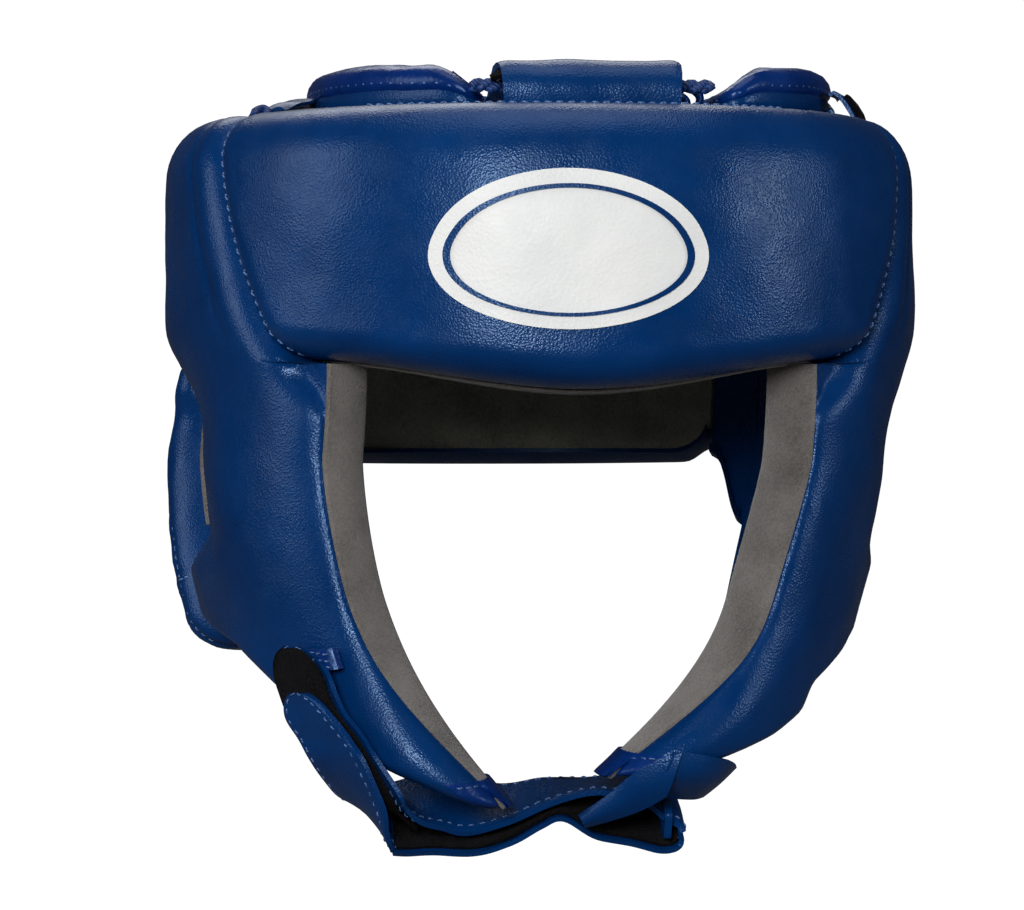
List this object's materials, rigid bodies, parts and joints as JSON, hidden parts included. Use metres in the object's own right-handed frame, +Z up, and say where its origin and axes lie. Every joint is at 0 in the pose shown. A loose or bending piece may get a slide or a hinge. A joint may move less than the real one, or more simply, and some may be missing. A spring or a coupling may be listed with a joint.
{
  "type": "boxing headgear",
  "caption": "Padded leather boxing headgear with open face, cheek pads, ear guards, laced crown pads, rear closure strap and hook-and-loop chin strap.",
  "frame": {"origin": "middle of the head opening on the symmetry plane, at the level of the rear pad's lower edge", "axes": "+Z up towards the crown, -Y the way the face looks, +X the wearer's left"},
  "size_m": [0.218, 0.2506, 0.2188],
  "materials": {
    "leather": "matt grained",
    "binding": "satin",
    "suede_lining": "brushed",
    "dark_suede": "brushed",
    "foam": "matt",
    "hook_and_loop": "fuzzy",
    "lace_cord": "woven",
    "badge": "satin"
  },
  "bodies": {
    "headgear": {"forehead_cover": "leather", "forehead_foam": "foam", "forehead_lining": "suede_lining", "forehead_print": "badge", "side_cover_left": "leather", "side_cover_right": "leather", "temple_foam_left": "foam", "temple_foam_right": "foam", "cheek_foam_left": "foam", "cheek_foam_right": "foam", "side_lining_left": "suede_lining", "side_lining_right": "suede_lining", "cheek_binding_left": "binding", "cheek_binding_right": "binding", "ear_guard_cover_left": "leather", "ear_guard_cover_right": "leather", "ear_guard_foam_left": "foam", "ear_guard_foam_right": "foam", "ear_guard_band_left": "binding", "ear_guard_band_right": "binding", "rear_wing_left": "leather", "rear_wing_right": "leather", "rear_cover": "leather", "rear_foam": "foam", "rear_lining": "dark_suede", "rear_loop_patch": "hook_and_loop", "crown_lace": "lace_cord", "crown_tongue": "leather", "crown_tongue_loop_patch": "hook_and_loop", "crown_tab_rear": "leather", "crown_tab_left": "hook_and_loop", "rim_cord_knot": "lace_cord", "chin_strap": "leather", "chin_strap_pile": "hook_and_loop", "chin_strap_anchor": "leather", "chin_strap_keeper": "leather"},
    "crown_pad_left": {"crown_cover_left": "leather", "crown_foam_left": "foam", "crown_lining_left": "suede_lining", "crown_wall_left": "leather", "crown_binding_left": "binding", "crown_loops_left": "lace_cord"},
    "crown_pad_right": {"crown_cover_right": "leather", "crown_foam_right": "foam", "crown_lining_right": "suede_lining", "crown_wall_right": "leather", "crown_binding_right": "binding", "crown_loops_right": "lace_cord"},
    "lace_flap": {"lace_cover": "leather", "lace_cover_hook": "hook_and_loop"},
    "rear_closure": {"rear_strap": "leather", "rear_strap_hook": "hook_and_loop"},
    "strap_return": {"chin_strap_return": "leather"},
    "strap_tip": {"chin_strap_tip": "leather", "chin_strap_tip_hook": "hook_and_loop"}
  },
  "joints": [
    {"name": "crown_left_fold", "type": "hinge", "parent": "headgear", "child": "crown_pad_left", "pos_m": [0.0866, 0, 0.0965], "axis": [0, 1, 0], "range_deg": [0, 35]},
    {"name": "crown_right_fold", "type": "hinge", "parent": "headgear", "child": "crown_pad_right", "pos_m": [-0.0866, 0, 0.0965], "axis": [0, -1, 0], "range_deg": [0, 35]},
    {"name": "lace_flap_open", "type": "hinge", "parent": "headgear", "child": "lace_flap", "pos_m": [0.004, -0.0985, 0.0978], "axis": [1, 0, 0], "range_deg": [0, 95]},
    {"name": "rear_strap_open", "type": "hinge", "parent": "headgear", "child": "rear_closure", "pos_m": [0.0996, 0.064, 0.042], "axis": [0, 0, -1], "range_deg": [0, 100]},
    {"name": "strap_return_drop", "type": "hinge", "parent": "headgear", "child": "strap_return", "pos_m": [0.0304, -0.08, -0.0992], "axis": [0, -1, 0], "range_deg": [0, 70]},
    {"name": "strap_tip_peel", "type": "hinge", "parent": "strap_return", "child": "strap_tip", "pos_m": [-0.049, -0.0855, -0.105], "axis": [0, -1, 0], "range_deg": [0, 70]}
  ]
}
